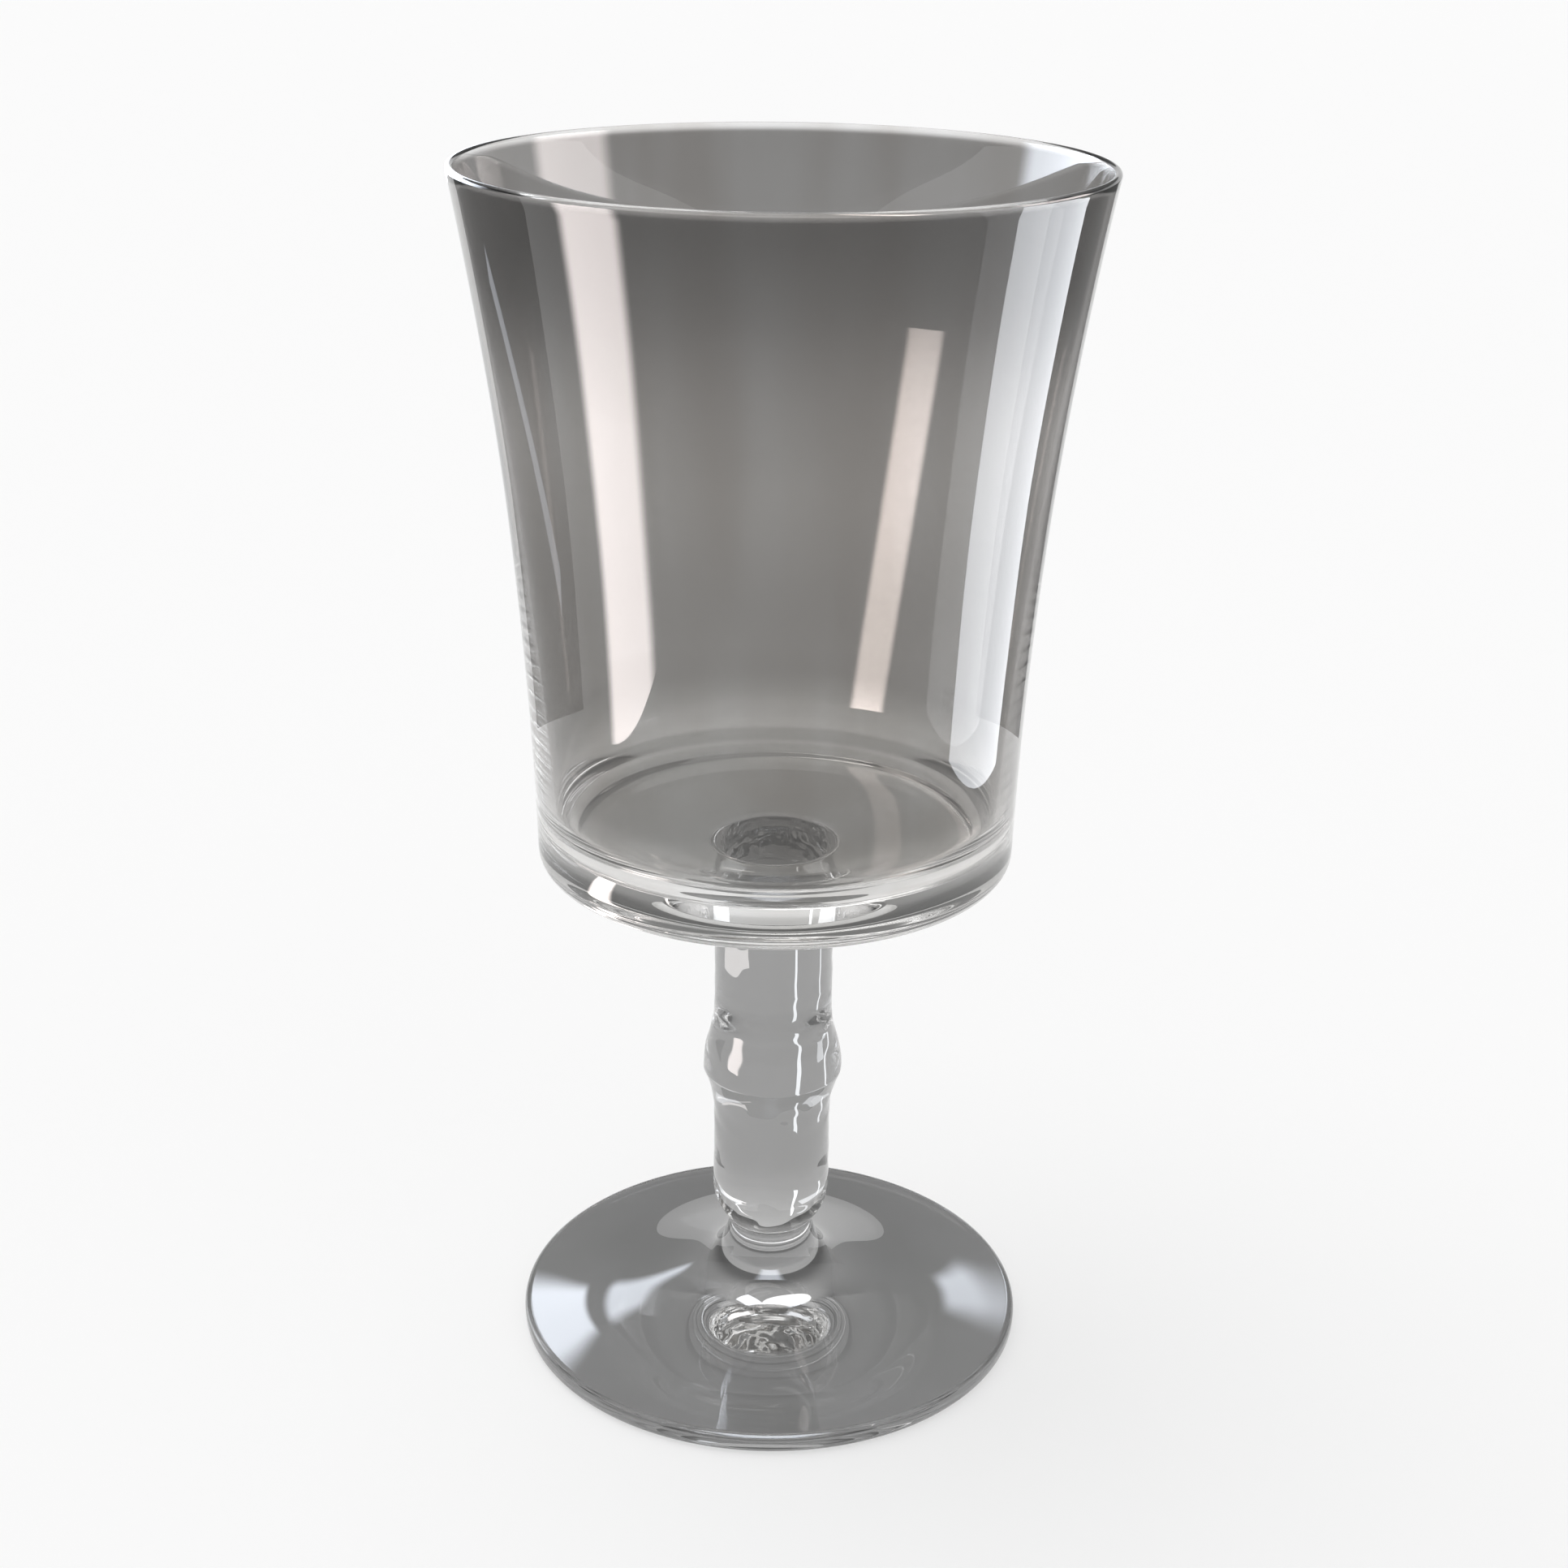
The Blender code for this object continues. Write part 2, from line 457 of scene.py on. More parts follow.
@dataclass(frozen=True)
class SealFinish:
    """The inside of a hot seal, where glass meets glass and light goes straight on.

    Attributes:
        name: The material's name.
    """

    name: str = "fused_seal"

    def material(self) -> bpy.types.Material:
        """Makes the seal.

        Returns:
            A material that shows nothing.
        """
        material = bpy.data.materials.new(self.name)
        nodes = NodeTree(material)
        clear = nodes.add("BsdfTransparent", {"Color": (1.0, 1.0, 1.0, 1.0)})
        nodes.add("OutputMaterial", {"Surface": clear.outputs["BSDF"]})
        return material


@dataclass
class TurnedPiece:
    """A glass piece turned about the goblet's axis.

    Attributes:
        node: Name of the CAD node that the piece replaces.
        finish: The glass that it is made of.
        waver: How it strays from a true turning.
    """

    node: str
    finish: GlassFinish
    waver: Waver

    def outline(self) -> Outline:
        """The piece's half section."""
        raise NotImplementedError

    def build(self, seal: bpy.types.Material) -> bpy.types.Object:
        """Makes the piece, dresses it and puts it on its body.

        Args:
            seal: Material of the faces inside the hot seals.

        Returns:
            The finished object.
        """
        mesh = self.outline().turned(self.node + "_glass", self.waver)
        mesh.materials.append(self.finish.material())
        mesh.materials.append(seal)
        piece = put(self.node + "_glass", mesh)
        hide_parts(self.node)
        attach(piece, BODY)
        return piece


@dataclass
class Bowl(TurnedPiece):
    """The flared bucket bowl.

    Attributes:
        seat_height: Height of the seal with the stem.
        height: Height of the lip over the heel's lowest ring.
        seat_radius: Radius of the seal.
        seat_drop: How far the underside sinks from the heel to the seal.
        heel_radius: Outer radius above the heel.
        heel_round: Rounding of the heel.
        heel_wall: Thickness of the wall at the heel.
        rim_radius: Outer radius of the lip.
        rim_wall: Thickness of the wall at the lip.
        flare_power: Power with which the wall flares.
        flare_taper: Share of the opening that is a straight taper.
        floor_rise: Height of the floor over the heel's lowest ring.
        floor_round: Radius of the hollow between the floor and the wall.
        floor_dish: How far the floor sinks in its middle.
        floor_steps: Points from the middle of the floor to the hollow.
        hollow_steps: Points in the hollow.
        wall_steps: Points up the inner wall, and down the outer one.
        edge_steps: Points round the lip, and round the heel.
        underside_steps: Points from the heel to the seal.
    """

    seat_height: float = 0.0
    height: float = 95.4 * MM
    seat_radius: float = SEAT_RADIUS
    seat_drop: float = 2.0 * MM
    heel_radius: float = 33.2 * MM
    heel_round: float = 2.6 * MM
    heel_wall: float = 2.4 * MM
    rim_radius: float = 42.6 * MM
    rim_wall: float = 1.0 * MM
    flare_power: float = 2.06
    flare_taper: float = 0.21
    floor_rise: float = 4.4 * MM
    floor_round: float = 7.5 * MM
    floor_dish: float = 0.6 * MM
    floor_steps: int = 25
    hollow_steps: int = 20
    wall_steps: int = 70
    edge_steps: int = 16
    underside_steps: int = 40

    def wall(self, share: np.ndarray) -> tuple[np.ndarray, np.ndarray]:
        """The outer wall and its outward normals.

        The radius grows from the heel by the opening times a blend of a straight taper and a power
        of the share of the height.

        Args:
            share: Share of the wall's height, 0 at the heel and 1 at the lip.

        Returns:
            Points and unit normals, one row each.
        """
        foot = self.seat_height + self.seat_drop + self.heel_round
        rise = self.height - self.heel_round - self.rim_wall / 2
        opening = self.rim_radius - self.heel_radius
        curved = 1 - self.flare_taper
        taper = self.flare_taper * share + curved * share**self.flare_power
        growth = curved * self.flare_power * share ** (self.flare_power - 1)
        slope = opening * (self.flare_taper + growth)
        length = np.hypot(slope, rise)
        normal = line(rise / length, -slope / length)
        return line(self.heel_radius + opening * taper, foot + rise * share), normal

    def inside(self, share: np.ndarray, extra: float = 0.0) -> np.ndarray:
        """Points inside the wall by its thickness, which thins with the square of the height left.

        Args:
            share: Share of the wall's height.
            extra: How much further inside the points lie.

        Returns:
            The points, one row each.
        """
        point, normal = self.wall(share)
        depth = self.rim_wall + (self.heel_wall - self.rim_wall) * (1 - share) ** 2 + extra
        return point - depth[:, None] * normal

    def outline(self) -> Outline:
        """Floor, hollow, inner wall, lip, outer wall, heel and underside, ending at the seat.

        The hollow is a circle that touches both the floor and the inner wall. The floor dishes and
        the underside sinks to the seat by half cosine waves.

        Returns:
            The outline.
        """
        floor = self.seat_height + self.seat_drop + self.floor_rise
        # The circle's place comes from many that touch the lower half of the wall.
        tried = np.linspace(0.0, 0.5, 2001)
        over = self.inside(tried, self.floor_round)[:, 1] - self.floor_round - floor
        start = np.interp(0.0, over, tried)
        hollow = self.inside(np.array([start]), self.floor_round)[0]
        normal = self.wall(np.array([start]))[1][0]
        turn = math.degrees(math.atan2(normal[1], normal[0]))

        out = np.linspace(0.0, 1.0, self.floor_steps)
        parts = [line(hollow[0] * out, floor - self.floor_dish * (1 - ease(out)))]
        parts.append(arc(hollow, self.floor_round, -90.0, turn, self.hollow_steps))
        parts.append(self.inside(start + (1 - start) * shares(self.wall_steps)))

        edge, normal = self.wall(np.array([1.0]))
        lip = edge[0] - normal[0] * self.rim_wall / 2
        turn = math.degrees(math.atan2(normal[0, 1], normal[0, 0]))
        parts.append(arc(lip, self.rim_wall / 2, turn + 180.0, turn, self.edge_steps))

        parts.append(self.wall(1 - shares(self.wall_steps))[0])
        ring = self.heel_radius - self.heel_round
        heel = (ring, self.seat_height + self.seat_drop + self.heel_round)
        parts.append(arc(heel, self.heel_round, 0.0, -90.0, self.edge_steps))
        inwards = shares(self.underside_steps)
        underside = self.seat_height + self.seat_drop * (1 - ease(inwards))
        parts.append(line(ring + (self.seat_radius - ring) * inwards, underside))
        parts.append(line(0.0, self.seat_height))
        return Outline.joined(parts, (-1,))


@dataclass
class Stem(TurnedPiece):
    """The solid stem with its knuckle.

    Attributes:
        low: Height of the seal with the foot's neck.
        high: Height of the seal with the bowl.
        end_gap: How far the CAD node stays clear of either seal.
        radius: Radius of the plain lengths.
        waist_radius: Radius of the seal with the neck.
        shoulder_turn: Angle by which the shoulder and the waist turn.
        waist_round: Radius of the waist's arc.
        knuckle_rise: Height of the knuckle's ridge over the waist.
        knuckle_radius: Radius of the ridge.
        knuckle_lip: Rounding of the ridge.
        undercut_turn: Slope at which the fall below the ridge starts.
        swell_below: Height of the fall.
        swell_above: Height of the swell over the ridge.
        seat_radius: Radius of the seal with the bowl.
        bend_steps: Points round the seat, and round the waist.
        upper_steps: Points down the upper length.
        lower_steps: Points down the lower length, and round the ridge.
        swell_steps: Points down the swell, and down the fall.
        shoulder_steps: Points round the shoulder.
    """

    low: float = 0.0
    high: float = 0.0
    end_gap: float = 0.3 * MM
    radius: float = 8.5 * MM
    waist_radius: float = WAIST_RADIUS
    shoulder_turn: float = 44.0
    waist_round: float = 1.5 * MM
    knuckle_rise: float = 25.8 * MM
    knuckle_radius: float = 10.1 * MM
    knuckle_lip: float = 1.0 * MM
    undercut_turn: float = 24.0
    swell_below: float = 8.5 * MM
    swell_above: float = 9.7 * MM
    seat_radius: float = SEAT_RADIUS
    bend_steps: int = 12
    upper_steps: int = 10
    lower_steps: int = 8
    swell_steps: int = 30
    shoulder_steps: int = 24

    def outline(self) -> Outline:
        """Seat, upper length, knuckle, lower length, shoulder and waist.

        The seat is rounded by a quarter circle, the swell above the knuckle is half a cosine wave,
        the fall below the ridge is a power curve that starts at the undercut's slope, and the
        shoulder and the waist are two arcs that turn by the same angle and share the narrowing.

        Returns:
            The outline.
        """
        parts = [line(np.array([0.0, self.seat_radius]), self.high)]
        rounding = self.seat_radius - self.radius
        top = self.high - rounding
        parts.append(arc((self.seat_radius, top), rounding, 90.0, 180.0, self.bend_steps))

        ridge = self.low + self.end_gap + self.knuckle_rise
        swell = ridge + self.swell_above
        parts.append(line(self.radius, top + (swell - top) * shares(self.upper_steps)))
        down = shares(self.swell_steps)
        above = self.radius + (self.knuckle_radius - self.radius) * ease(down)
        parts.append(line(above, swell - self.swell_above * down))
        centre = (self.knuckle_radius - self.knuckle_lip, ridge)
        parts.append(arc(centre, self.knuckle_lip, 0.0, -self.undercut_turn, self.lower_steps))
        lip_radius, lip_height = parts[-1][-1]
        fall = lip_radius - self.radius
        power = self.swell_below * math.tan(math.radians(self.undercut_turn)) / fall
        below = self.radius + fall * (1 - down) ** power
        parts.append(line(below, lip_height - self.swell_below * down))

        turn = math.radians(self.shoulder_turn)
        shoulder = (self.radius - self.waist_radius) / (1 - math.cos(turn)) - self.waist_round
        waist = self.low + self.end_gap
        shoulder_height = waist + (shoulder + self.waist_round) * math.sin(turn)
        fallen = lip_height - self.swell_below
        lower = fallen + (shoulder_height - fallen) * shares(self.lower_steps)
        parts.append(line(self.radius, lower))
        centre = (self.radius - shoulder, shoulder_height)
        parts.append(arc(centre, shoulder, 0.0, -self.shoulder_turn, self.shoulder_steps))
        centre = (self.waist_radius + self.waist_round, waist)
        bend_start = 180.0 - self.shoulder_turn
        parts.append(arc(centre, self.waist_round, bend_start, 180.0, self.bend_steps))
        parts.append(line(np.array([self.waist_radius, 0.0]), self.low))
        return Outline.joined(parts, (0, -1))


@dataclass
class Foot(TurnedPiece):
    """The wide disc foot with its bell-shaped neck.

    Attributes:
        radius: Radius of the rim.
        neck_height: Height of the seal with the stem.
        neck_radius: Radius of the seal.
        neck_flare: Width over which the bell falls to about a third.
        cone_turn: Slope of the cone.
        brim_turn: Slope of the brim.
        bend_radius: Radius at which the cone bends into the brim.
        bend_width: How softly it bends, as a length.
        rim: Height of the rim.
        edge: Rounding of the rim's two edges.
        top_steps: Points from the neck to the rim.
        top_crowding: Power by which these points crowd at the neck.
        edge_steps: Points round each edge.
        underside_steps: Points across the underside.
    """

    radius: float = 0.0
    neck_height: float = 0.0
    neck_radius: float = WAIST_RADIUS
    neck_flare: float = 1.25 * MM
    cone_turn: float = 19.5
    brim_turn: float = 3.5
    bend_radius: float = 25.0 * MM
    bend_width: float = 3.5 * MM
    rim: float = 2.9 * MM
    edge: float = 1.1 * MM
    top_steps: int = 120
    top_crowding: float = 1.7
    edge_steps: int = 12
    underside_steps: int = 24

    def cone(self, radius: np.ndarray) -> np.ndarray:
        """Height of the foot's top without its bell.

        From the rim inwards it rises at the brim's slope and then at the cone's. The bend between
        the two is the logarithm of one plus an exponential, which is smooth all along.

        Args:
            radius: Distances from the axis.

        Returns:
            The height at each of them.
        """
        flat = self.radius - self.edge
        brim = math.tan(math.radians(self.brim_turn))
        steeper = (math.tan(math.radians(self.cone_turn)) - brim) * self.bend_width
        bend = np.logaddexp(0.0, (self.bend_radius - radius) / self.bend_width)
        least = np.logaddexp(0.0, (self.bend_radius - flat) / self.bend_width)
        return self.rim + brim * (flat - radius) + steeper * (bend - least)

    def outline(self) -> Outline:
        """Neck, bell, cone, brim, rim and flat underside.

        The bell stands on the cone and dies away exponentially from the neck.

        Returns:
            The outline.
        """
        flat = self.radius - self.edge
        span = flat - self.neck_radius
        share = shares(self.top_steps) ** self.top_crowding
        spread = self.neck_radius + span * share
        rise = self.neck_height - self.cone(self.neck_radius)
        bell = rise * np.exp(-span * share / self.neck_flare) * (1 - share)
        parts = [line(np.array([0.0, self.neck_radius]), self.neck_height)]
        parts.append(line(spread, self.cone(spread) + bell))
        parts.append(arc((flat, self.rim - self.edge), self.edge, 90.0, 0.0, self.edge_steps))
        parts.append(arc((flat, self.edge), self.edge, 0.0, -90.0, self.edge_steps))
        parts.append(line(flat * (1 - shares(self.underside_steps)), 0.0))
        return Outline.joined(parts, (0,))


class Seen(Enum):
    """In what a lamp is seen."""

    MIRRORED = "in reflections only"
    THROUGH = "only through glass"


SHARP = (0.0, 0.0)  # the fade of a lamp that is bright up to its edges
SOFT = (0.2, 0.0)  # the fade of one that dims towards its sides
PANE_AWAY = 0.8  # distance of the lamps that are given by their directions
GLEAM_HEIGHT = 6 * MM  # height of the lamps that lie on the table


def spread(span: Pair) -> Pair:
    """Middle and half width of a span of degrees, in radians."""
    return math.radians(sum(span) / 2), math.radians((span[1] - span[0]) / 2)


@dataclass(frozen=True)
class SoftBox:
    """A flat rectangular lamp that faces the goblet and that neither camera nor floor sees.

    Attributes:
        name: The lamp's name.
        centre: Its middle.
        aim: The point that it faces.
        size: Its width and height.
        brightness: Its radiance, where 1 shows as white.
        colour: Its colour.
        seen: In what it is seen.
        lights: Names of the objects that it lights.
        fade: Shares of its width and its height over which it dims towards each edge.
        lean: How far it leans in its own plane, in degrees towards a greater turn about the axis.
    """

    name: str
    centre: Place
    aim: Place
    size: Pair
    brightness: float
    colour: Colour
    seen: Seen
    lights: Names
    fade: Pair = SHARP
    lean: float = 0.0

    @classmethod
    def window(
        cls,
        name: str,
        turn: Pair,
        height: Pair,
        away: float,
        brightness: float,
        colour: Colour,
        seen: Seen,
        lights: Names,
        fade: Pair = SHARP,
        lean: float = 0.0,
    ) -> "SoftBox":
        """An upright lamp given by what it spans.

        Args:
            name: The lamp's name.
            turn: Where it starts and ends about the axis, in degrees from +Y towards +X.
            height: Height of its lower and upper edge.
            away: Distance of its sides from the axis.
            brightness: Its radiance.
            colour: Its colour.
            seen: In what it is seen.
            lights: Names of the objects that it lights.
            fade: Shares of its width and its height over which it dims towards each edge.
            lean: How far it leans in its own plane.

        Returns:
            The lamp.
        """
        middle, half = spread(turn)
        level = sum(height) / 2
        near = away * math.cos(half)
        centre = (near * math.sin(middle), near * math.cos(middle), level)
        aim = (0.0, 0.0, level)
        size = (2 * away * math.sin(half), height[1] - height[0])
        return cls(name, centre, aim, size, brightness, colour, seen, lights, fade, lean)

    @classmethod
    def pane(
        cls,
        name: str,
        turn: Pair,
        climb: Pair,
        brightness: float,
        colour: Colour,
        seen: Seen,
        lights: Names,
        fade: Pair = SHARP,
    ) -> "SoftBox":
        """A lamp in the distance, given by the directions that it fills as seen from the foot.

        Args:
            name: The lamp's name.
            turn: Where it starts and ends about the axis, in degrees from +Y towards +X.
            climb: Where it starts and ends over the table, in degrees.
            brightness: Its radiance.
            colour: Its colour.
            seen: In what it is seen.
            lights: Names of the objects that it lights.
            fade: Shares of its width and its height over which it dims towards each edge.

        Returns:
            The lamp.
        """
        middle, half = spread(turn)
        level, half_climb = spread(climb)
        flat = PANE_AWAY * math.cos(level)
        centre = (flat * math.sin(middle), flat * math.cos(middle), PANE_AWAY * math.sin(level))
        aim = (0.0, 0.0, 0.0)
        size = (2 * flat * math.tan(half), 2 * PANE_AWAY * math.tan(half_climb))
        return cls(name, centre, aim, size, brightness, colour, seen, lights, fade)

    @classmethod
    def gleam(
        cls,
        name: str,
        turn: Pair,
        reach: Pair,
        brightness: float,
        colour: Colour,
        lights: Names,
    ) -> "SoftBox":
        """A lamp that lies on the table, as a window does that a polished table mirrors.

        It is seen through glass only.

        Args:
            name: The lamp's name.
            turn: Where it starts and ends about the axis, in degrees from +Y towards +X.
            reach: Distance of its near and far edge from the axis.
            brightness: Its radiance.
            colour: Its colour.
            lights: Names of the objects that it lights.

        Returns:
            The lamp.
        """
        middle, half = spread(turn)
        away = sum(reach) / 2
        centre = (away * math.sin(middle), away * math.cos(middle), GLEAM_HEIGHT)
        aim = (0.0, 0.0, 1.0)
        size = (2 * away * math.tan(half), reach[1] - reach[0])
        return cls(name, centre, aim, size, brightness, colour, Seen.THROUGH, lights)

    def place(self) -> None:
        """Puts the lamp in the scene and links it to the objects that it lights."""
        lamp = bpy.data.lights.new(self.name, "AREA")
        lamp.shape = "RECTANGLE"
        lamp.size, lamp.size_y = self.size
        lamp.energy = self.brightness * math.pi * self.size[0] * self.size[1]
        lamp.color = self.colour
        lamp_object = put(self.name, lamp)
        lamp_object.location = self.centre
        towards = Vector(self.aim) - Vector(self.centre)
        lean = Quaternion((0.0, 0.0, 1.0), math.radians(self.lean))
        lamp_object.rotation_euler = (towards.to_track_quat("-Z", "Y") @ lean).to_euler()
        lamp_object.visible_camera = False
        lamp_object.visible_diffuse = False
        lamp_object.visible_glossy = self.seen is not Seen.THROUGH
        lamp_object.visible_transmission = self.seen is not Seen.MIRRORED
        lit = bpy.data.collections.new(self.name + "_lights")
        for name in self.lights:
            lit.objects.link(bpy.data.objects[name])
        lamp_object.light_linking.receiver_collection = lit
        if self.fade != SHARP:
            self._dim_edges(lamp)

    def _dim_edges(self, lamp: bpy.types.Light) -> None:
        """Lets the lamp fade towards its edges, by a smooth step from each of them inwards.

        Args:
            lamp: The lamp.
        """
        nodes = NodeTree(lamp)
        place = nodes.add("NewGeometry").outputs["Parametric"]
        strength = 1.0
        for axis, fade in zip("XY", self.fade):
            if not fade:
                continue
            ahead = nodes.part(place, axis)
            back = nodes.work_out("SUBTRACT", 1.0, ahead)
            edge = nodes.work_out("MINIMUM", ahead, back)
            strength = nodes.work_out("MULTIPLY", strength, nodes.step(edge, (0.0, fade)))
        glow = nodes.add("Emission", {"Color": (*self.colour, 1.0), "Strength": strength})
        nodes.add("OutputLight", {"Surface": glow.outputs["Emission"]})


@dataclass(frozen=True)
class Flag:
    """A dark curved card that shows only as a reflection, to darken the bowl's outline.

    Attributes:
        name: The card's name.
        turn: Where it starts and ends about the axis, in degrees from +Y towards +X.
        height: Height of its lower and upper edge.
        away: Distance from the axis.
        colour: Its colour.
        columns: Number of points along either edge.
    """

    name: str
    turn: Pair
    height: Pair = (0.0, 0.15)
    away: float = 0.25
    colour: Colour = grey(0.24)
    columns: int = 13

    def build(self) -> bpy.types.Object:
        """Makes the card.

        It is a grid of two rows of points, at evenly spaced angles on a circle round the axis.

        Returns:
            The card.
        """
        turn = np.radians(np.linspace(*self.turn, self.columns))
        ring = np.stack([np.sin(turn), np.cos(turn)], axis=-1) * self.away
        rows = [np.column_stack([ring, np.full(self.columns, level)]) for level in self.height]
        near = np.arange(self.columns - 1)
        over = near + self.columns
        quads = np.stack([near, near + 1, over + 1, over], axis=-1)
        mesh = bpy.data.meshes.new(self.name)
        mesh.from_pydata(np.concatenate(rows), [], quads.tolist())
        material = bpy.data.materials.new(self.name)
        nodes = NodeTree(material)
        card = nodes.add("BsdfPrincipled", {"Base Color": (*self.colour, 1.0), "Roughness": 0.9})
        nodes.add("OutputMaterial", {"Surface": card.outputs["BSDF"]})
        mesh.materials.append(material)
        flag = put(self.name, mesh)
        flag.visible_camera = False
        flag.visible_diffuse = False
        flag.visible_transmission = False
        flag.visible_shadow = False
        return flag


@dataclass
class Studio:
    """A pale floor, a sky, the soft boxes and the flags.

    Attributes:
        boxes: The soft boxes.
        flags: The dark cards.
        floor_colour: The floor's colour.
        floor_lift: Share of the floor that is seen at its full colour, whatever falls on it.
        floor_radius: How far the floor reaches.
        floor_drop: How far the floor lies below the goblet's rest.
        floor_rings: Number of rings in the floor's grid.
        floor_sides: Number of points in each ring.
        backdrop: How far the floor rises towards its edge.
        sky: Colour of the surroundings overhead.
        horizon: Colour of the surroundings low down.
        sky_band: Sines of the angles over the horizon between which the sky brightens.
        overhead: Strength of the lamp above.
        overhead_width: How wide that lamp is, in degrees.
        overhead_aim: Direction in which it shines.
    """

    boxes: list[SoftBox]
    flags: list[Flag]
    floor_colour: Colour = grey(0.97)
    floor_lift: float = 0.6
    floor_radius: float = 6.0
    floor_drop: float = 0.1 * MM
    floor_rings: int = 32
    floor_sides: int = 96
    backdrop: float = 1.2
    sky: Colour = grey(0.75)
    horizon: Colour = grey(0.2)
    sky_band: Pair = (0.3, 0.75)
    overhead: float = 1.2
    overhead_width: float = 50.0
    overhead_aim: Place = (0.3, -0.2, -1.0)

    def build(self) -> None:
        """Makes the floor, the world, the flags and the lamps."""
        self._floor()
        self._world()
        self._overhead()
        for flag in self.flags:
            flag.build()
            log.info("flag %s", flag.name)
        for box in self.boxes:
            box.place()
            log.info("lamp %s", box.name)

    def _floor(self) -> bpy.types.Object:
        """A disc on a grid of rings, whose radii grow with the square of the ring's number.

        The inner half of the radius is flat, and from there the height grows with the square of the
        distance, so that the floor becomes a backdrop.

        Returns:
            The floor.
        """
        sides = self.floor_sides
        ring = shares(self.floor_rings) ** 2 * self.floor_radius
        rise = self.backdrop * np.clip(2 * ring / self.floor_radius - 1, 0.0, None) ** 2
        angle = np.arange(sides) * (math.tau / sides)
        across = np.outer(ring, np.cos(angle))
        along = np.outer(ring, np.sin(angle))
        level = np.repeat((rise - self.floor_drop)[:, None], sides, axis=1)
        grid = np.stack([across, along, level], axis=-1).reshape(-1, 3)
        vertices = np.concatenate([grid, [[0.0, 0.0, -self.floor_drop]]])
        near = np.arange(sides)
        far = (near + 1) % sides
        quads = ring_quads(self.floor_rings, sides)
        fan = np.stack([np.full(sides, len(grid)), near, far], axis=-1)
        mesh = bpy.data.meshes.new("floor")
        mesh.from_pydata(vertices, [], quads.tolist() + fan.tolist())
        mesh.polygons.foreach_set("use_smooth", np.ones(len(mesh.polygons), dtype=bool))

        mesh.materials.append(self._floor_finish())
        return put("floor", mesh)

    def _floor_finish(self) -> bpy.types.Material:
        """The floor's paint, a share of which glows for whatever looks at it.

        Returns:
            The material.
        """
        material = bpy.data.materials.new("floor")
        nodes = NodeTree(material)
        paint = nodes.add(
            "BsdfPrincipled",
            {"Base Color": (*self.floor_colour, 1.0), "Roughness": 0.9, "Specular IOR Level": 0.0},
        )
        pale = nodes.add("Emission", {"Color": (*self.floor_colour, 1.0), "Strength": 1.0})
        ray = nodes.add("LightPath").outputs
        looked = nodes.work_out("MAXIMUM", ray["Is Camera Ray"], ray["Is Glossy Ray"])
        looked = nodes.work_out("MAXIMUM", looked, ray["Is Transmission Ray"])
        lift = nodes.work_out("MULTIPLY", looked, self.floor_lift)
        mixed = nodes.add(
            "MixShader",
            {0: lift, 1: paint.outputs["BSDF"], 2: pale.outputs["Emission"]},
        )
        nodes.add("OutputMaterial", {"Surface": mixed.outputs["Shader"]})
        return material

    def _overhead(self) -> None:
        """Hangs up a wide soft lamp, so far away that it lights the whole floor evenly."""
        lamp = bpy.data.lights.new("overhead", "SUN")
        lamp.energy = self.overhead
        lamp.angle = math.radians(self.overhead_width)
        lamp_object = put("overhead", lamp)
        facing = Vector(self.overhead_aim).to_track_quat("-Z", "Y")
        lamp_object.rotation_euler = facing.to_euler()
        lamp_object.visible_glossy = False

    def _world(self) -> None:
        """Gives the scene a sky that brightens smoothly from the horizon upwards."""
        world = bpy.data.worlds.new("studio")
        nodes = NodeTree(world)
        height = nodes.part(nodes.add("TexCoord").outputs["Generated"], "Z")
        colour = nodes.blend(nodes.step(height, self.sky_band), self.horizon, self.sky)
        sky = nodes.add("Background", {"Color": colour, "Strength": 1.0})
        nodes.add("OutputWorld", {"Surface": sky.outputs["Background"]})
        bpy.context.scene.world = world


@dataclass(frozen=True)
class PhotoCamera:
    """The camera of the photograph, placed by the goblet's height.

    Attributes:
        image: Width of the photograph in pixels.
        focus: Focal length in pixels.
        back: Distance in front of the axis, in goblet heights.
        rise: Height above the floor, in goblet heights.
        pitch: How far it looks down.
        roll: How far it leans.
        aside: Pixels by which the picture is shifted.
        sensor: Width of the sensor in millimetres.
        nearest: Distance from which on things are seen.
    """

    image: float = 1932.0
    focus: float = 2982.9
    back: float = 1.8435
    rise: float = 1.2406
    pitch: float = 21.861
    roll: float = 0.731
    aside: float = 10.0
    sensor: float = 36.0
    nearest: float = 0.01

    def place(self, height: float) -> None:
        """Makes the camera and sets it as the scene's.

        Args:
            height: The goblet's height.
        """
        lens = bpy.data.cameras.new("photo_camera")
        lens.sensor_width = self.sensor
        lens.lens = self.sensor * self.focus / self.image
        lens.shift_x = self.aside / self.image
        lens.clip_start = self.nearest
        camera = put("photo_camera", lens)
        camera.location = (0.0, -self.back * height, self.rise * height)
        tilt = Euler((math.radians(90.0 - self.pitch), 0.0, 0.0)).to_matrix()
        camera.rotation_euler = (tilt @ Matrix.Rotation(math.radians(self.roll), 3, "Z")).to_euler()
        bpy.context.scene.camera = camera


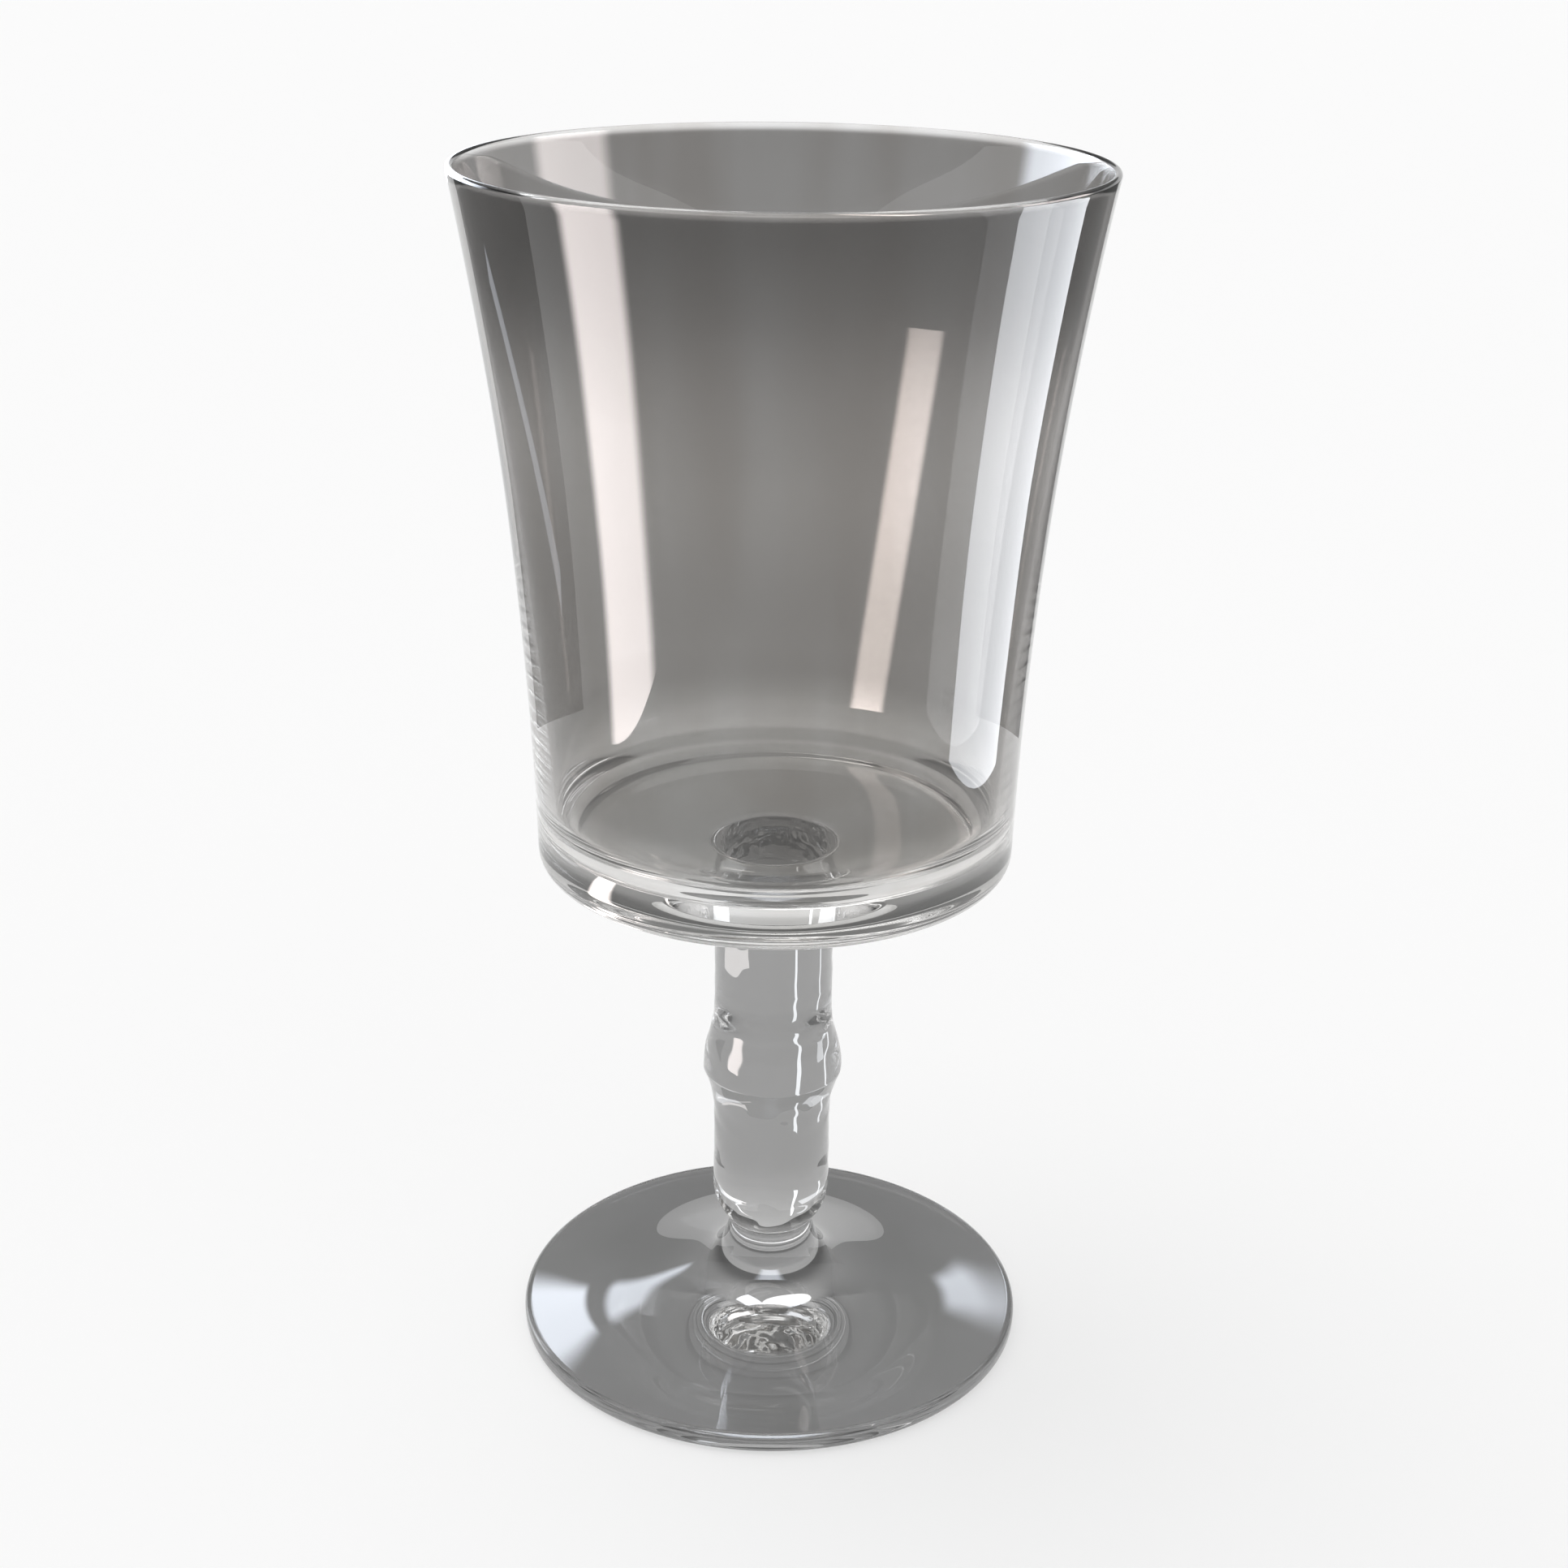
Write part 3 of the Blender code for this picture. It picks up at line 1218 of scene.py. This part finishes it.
# Painted shade: the bowl's grey stands in for the dark room seen through its clear glass. By height it is
# lighter at the heel and just over the floor, darker at the floor, and darkest on the upper wall, which
# shows as the far wall over the front rim. It is pale at the lip, a painted highlight along the rim.
BOWL_GLASS = GlassFinish(
    "bowl_glass",
    (
        (76 * MM, (0.85, 0.85, 0.84)),
        (78 * MM, (0.42, 0.42, 0.41)),
        (79.8 * MM, (0.46, 0.46, 0.45)),
        (80.6 * MM, (0.85, 0.85, 0.84)),
        (91 * MM, (0.43, 0.424, 0.416)),
        (120 * MM, (0.455, 0.448, 0.44)),
        (136 * MM, (0.52, 0.512, 0.504)),
        (160 * MM, (0.262, 0.258, 0.254)),
        (168.8 * MM, (0.255, 0.251, 0.247)),
        (169.6 * MM, grey(0.9)),
    ),
    (0.86, 0.84, 0.82),
    (70.0, 5.0),
)
# Painted shade: the stem's grey stands in for the dark room seen through it, with painted light at the
# top, under the seal with the bowl, and towards the waist.
STEM_GLASS = GlassFinish(
    "stem_glass",
    (
        (15 * MM, grey(0.6)),
        (24 * MM, grey(0.33)),
        (64 * MM, grey(0.33)),
        (71 * MM, grey(0.8)),
    ),
    (0.95, 0.95, 0.94),
    (90.0, 12.0),
)
# Painted shade: the foot's grey stands in for the dark room seen through it, lighter towards the neck.
FOOT_GLASS = GlassFinish(
    "foot_glass",
    ((6 * MM, grey(0.29)), (13 * MM, grey(0.6))),
    (0.95, 0.95, 0.94),
    (60.0, 60.0),
)

BOWL_WAVER = Waver(0.02 * MM, (2, 3, 5), (95 * MM, 60 * MM, 38 * MM), 12 * MM)
STEM_WAVER = Waver(
    0.03 * MM,
    (2, 3, 5, 8, 7),
    (23 * MM, 13 * MM, 8 * MM, 5.5 * MM, 3.7 * MM),
    4 * MM,
)
FOOT_WAVER = Waver(0.01 * MM, (2, 3), (30 * MM, 17 * MM), 3 * MM)

WARM = (1.0, 0.955, 0.945)
COOL = (0.92, 0.95, 1.0)

BOWL = ("bowl_glass",)
STEM = ("stem_glass",)
FOOT = ("foot_glass",)
UPPER = BOWL + STEM
LOWER = FOOT + STEM
MIRRORED = Seen.MIRRORED
THROUGH = Seen.THROUGH

# The bowl's streaks.
BOXES = [
    SoftBox.window("right_window", (64, 100), (0.01, 0.12), 0.21, 5.2, COOL, MIRRORED, UPPER),
    SoftBox.window("right_window_behind", (76, 111), (0.0, 0.12), 0.214, 3.0, COOL, THROUGH, UPPER),
    SoftBox.window("right_fanlight", (64, 107), (0.16, 0.24), 0.21, 7.0, WARM, MIRRORED, UPPER, SOFT),
    SoftBox.window("left_window", (-129, -103), (0.016, 0.13), 0.21, 11.0, WARM, MIRRORED, UPPER, SOFT, 4),
    SoftBox.window("left_shimmer", (-71, -68), (0.02, 0.12), 0.208, 1.2, COOL, MIRRORED, UPPER, SOFT, 50),
    SoftBox.window("left_fanlight", (-75, -15), (0.14, 0.23), 0.21, 8.0, COOL, MIRRORED, UPPER, SOFT),
    SoftBox(
        "strip_behind",
        centre=(0.0195, 0.06, 0.104),
        aim=(0.0195, 0.0, 0.104),
        size=(0.007, 0.066),
        brightness=3.0,
        colour=WARM,
        seen=THROUGH,
        lights=BOWL,
        fade=SOFT,
        lean=6.5,
    ),
]
# The foot's window images, and the light in its neck and in the stem's shoulder.
BOXES += [
    SoftBox.pane("pane_outer", (-31, -21.5), (28, 42), 7.0, COOL, MIRRORED, FOOT, (0.25, 0.3)),
    SoftBox.pane("pane_inner", (-19.5, -13), (30.5, 41), 9.0, COOL, MIRRORED, FOOT, (0.2, 0.25)),
    SoftBox.pane("pane_right", (13.5, 21.5), (26, 37), 5.5, COOL, MIRRORED, FOOT, (0.35, 0.35)),
    SoftBox.pane("pane_front", (145, 215), (38, 80), 9.0, COOL, MIRRORED, FOOT, (0.3, 0.1)),
    SoftBox.pane("lamp_right", (78, 115), (6, 38), 2.2, COOL, THROUGH, LOWER),
    SoftBox.pane("lamp_front", (122, 162), (38, 54), 3.0, WARM, THROUGH, LOWER),
    SoftBox.pane("lamp_back", (16, 50), (54, 70), 2.4, COOL, THROUGH, LOWER),
    SoftBox.pane("lamp_front_left", (-160, -130), (38, 54), 2.0, COOL, THROUGH, LOWER),
]
# The stem's seal and the lines down its sides.
BOXES += [
    SoftBox.gleam("ring_right", (24, 56), (0.14, 0.2), 1.1, COOL, STEM),
    SoftBox.gleam("ring_left", (-56, -24), (0.14, 0.2), 1.1, COOL, STEM),
    SoftBox.gleam("gleam_far", (14, 52), (0.157, 0.168), 1.2, WARM, STEM),
    SoftBox.gleam("gleam_near", (18, 46), (0.104, 0.116), 1.2, WARM, STEM),
    SoftBox.gleam("gleam_inner", (-17.2, -15.4), (0.06, 0.15), 2.2, COOL, STEM),
    SoftBox.gleam("gleam_outer", (-44, -42.2), (0.06, 0.15), 2.2, COOL, STEM),
]
FLAGS = [Flag("left_flag", (-88, -40)), Flag("right_flag", (32, 84))]


def main() -> None:
    """Builds the camera, the goblet's three pieces and the studio."""
    logging.basicConfig(level=logging.INFO, format="%(name)s: %(message)s")
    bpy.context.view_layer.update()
    PhotoCamera().place(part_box("bowl")[1].z)

    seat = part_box("bowl")[0].z
    foot_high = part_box("foot")[1]
    seal = SealFinish().material()
    pieces: list[TurnedPiece] = [
        Bowl("bowl", BOWL_GLASS, BOWL_WAVER, seat_height=seat),
        Stem("stem", STEM_GLASS, STEM_WAVER, low=foot_high.z, high=seat),
        Foot("foot", FOOT_GLASS, FOOT_WAVER, radius=foot_high.x, neck_height=foot_high.z),
    ]
    for piece in pieces:
        made = piece.build(seal)
        log.info("piece %s: %d faces", made.name, len(made.data.polygons))

    Studio(BOXES, FLAGS).build()
    scene = bpy.context.scene
    scene.view_settings.view_transform = "Standard"
    scene.cycles.max_bounces = BOUNCES
    scene.cycles.transmission_bounces = BOUNCES
    scene.cycles.glossy_bounces = BOUNCES
    scene.cycles.transparent_max_bounces = BOUNCES


if __name__ == "__main__":
    main()
